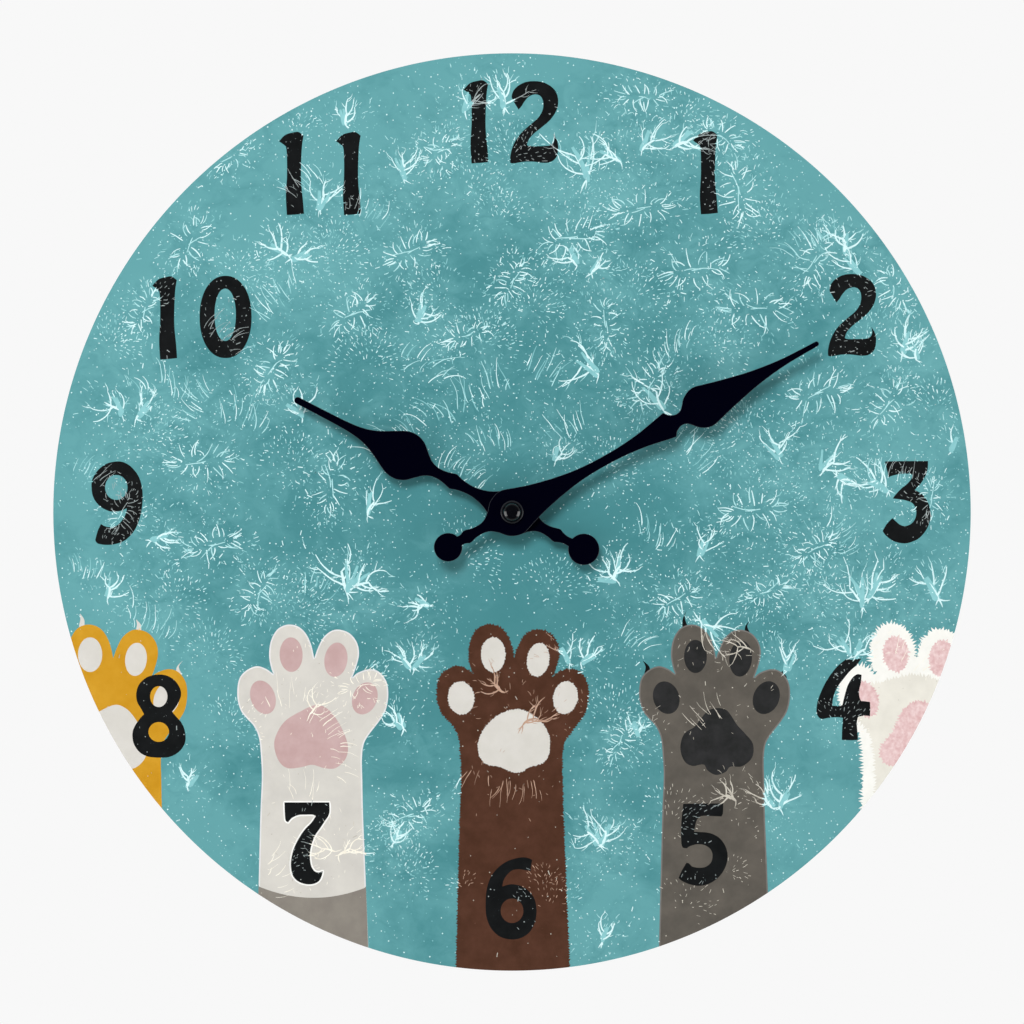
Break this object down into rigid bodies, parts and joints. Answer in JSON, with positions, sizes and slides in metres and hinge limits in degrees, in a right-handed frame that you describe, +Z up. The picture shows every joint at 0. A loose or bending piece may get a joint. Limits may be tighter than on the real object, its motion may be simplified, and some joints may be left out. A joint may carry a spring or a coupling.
{
  "type": "wall clock",
  "caption": "Round frameless wall clock with a printed dial of raised cat paws on teal, black leaf hands and a quartz movement behind the board.",
  "frame": {"origin": "on the hands' axis, in the plane of the wall that the back of the movement rests on", "axes": "+Z up towards 12 o'clock; +X right towards 3 o'clock as seen from the front; +Y into the wall, so the dial faces -Y"},
  "size_m": [0.254, 0.0326, 0.254],
  "materials": {
    "face_print": "satin",
    "fibreboard": "matte",
    "zinc_steel": "satin",
    "steel_pin": "polished",
    "black_rubber": "matte",
    "black_abs": "satin",
    "ivory_abs": "satin",
    "white_acetal": "satin",
    "brass": "satin",
    "green_board": "satin",
    "black_epoxy": "gloss",
    "crystal_can": "satin",
    "copper_winding": "gloss",
    "soft_iron": "satin",
    "ferrite": "matte",
    "nickel_strip": "polished",
    "black_hand": "satin",
    "black_cap": "gloss",
    "cell_sleeve": "gloss"
  },
  "bodies": {
    "clock_body": {"dial_board": "fibreboard", "dial_print": "face_print", "hanger_plate": "zinc_steel", "rubber_washer": "black_rubber", "front_case": "black_abs", "rear_cover": "black_abs", "threaded_stem": "brass", "stem_washer": "brass", "stem_nut": "brass", "train_plate": "ivory_abs", "plate_screws": "zinc_steel", "intermediate_pin": "steel_pin", "circuit_board": "green_board", "clock_chip": "black_epoxy", "quartz_crystal": "crystal_can", "coil_bobbin": "ivory_abs", "coil_winding": "copper_winding", "coil_core": "soft_iron", "stator": "soft_iron", "stator_screws": "zinc_steel", "contact_positive": "nickel_strip", "contact_negative": "nickel_strip"},
    "minute": {"minute_arbor": "brass", "minute_hand": "black_hand", "cap_nut": "black_cap", "clutch_spring": "nickel_strip", "clutch_collar": "brass"},
    "hour": {"hour_wheel": "white_acetal", "hour_hand": "black_hand", "hour_hand_collet": "black_hand"},
    "setting": {"setting_wheel": "white_acetal", "setting_knob": "black_abs"},
    "seconds": {"seconds_wheel": "white_acetal", "seconds_arbor": "steel_pin"},
    "third": {"third_wheel": "white_acetal", "third_arbor": "steel_pin"},
    "centre": {"centre_wheel": "white_acetal"},
    "intermediate": {"intermediate_wheel": "white_acetal"},
    "rotor": {"rotor_magnet": "ferrite", "rotor_pinion": "white_acetal"},
    "cell": {"battery": "cell_sleeve"}
  },
  "joints": [
    {"name": "minute_turn", "type": "hinge", "parent": "clock_body", "child": "minute", "pos_m": [0, 0, 0], "axis": [0, 1, 0], "continuous": true},
    {"name": "hour_turn", "type": "hinge", "parent": "clock_body", "child": "hour", "pos_m": [0, 0, 0], "axis": [0, 1, 0], "continuous": true},
    {"name": "setting_turn", "type": "hinge", "parent": "clock_body", "child": "setting", "pos_m": [-0.00831, 0, 0.0048], "axis": [0, 1, 0], "continuous": true},
    {"name": "seconds_turn", "type": "hinge", "parent": "clock_body", "child": "seconds", "pos_m": [0, 0, 0], "axis": [0, 1, 0], "continuous": true},
    {"name": "third_turn", "type": "hinge", "parent": "clock_body", "child": "third", "pos_m": [0.00468, 0, 0.00811], "axis": [0, 1, 0], "continuous": true},
    {"name": "centre_turn", "type": "hinge", "parent": "clock_body", "child": "centre", "pos_m": [0, 0, 0], "axis": [0, 1, 0], "continuous": true},
    {"name": "intermediate_turn", "type": "hinge", "parent": "clock_body", "child": "intermediate", "pos_m": [0.00684, 0, -0.00249], "axis": [0, 1, 0], "continuous": true},
    {"name": "rotor_turn", "type": "hinge", "parent": "clock_body", "child": "rotor", "pos_m": [0.0127, 0, -0.00462], "axis": [0, 1, 0], "continuous": true},
    {"name": "cell_slide", "type": "slide", "parent": "clock_body", "child": "cell", "axis": [0, 1, 0], "range_m": [0, 0.025]}
  ],
  "couplings": [
    {"joint": "hour_turn", "follows": "minute_turn", "ratio": 0.083333},
    {"joint": "setting_turn", "follows": "minute_turn", "ratio": -0.33333},
    {"joint": "third_turn", "follows": "seconds_turn", "ratio": -0.13333},
    {"joint": "centre_turn", "follows": "seconds_turn", "ratio": 0.016667},
    {"joint": "intermediate_turn", "follows": "seconds_turn", "ratio": -6},
    {"joint": "rotor_turn", "follows": "seconds_turn", "ratio": 30}
  ]
}
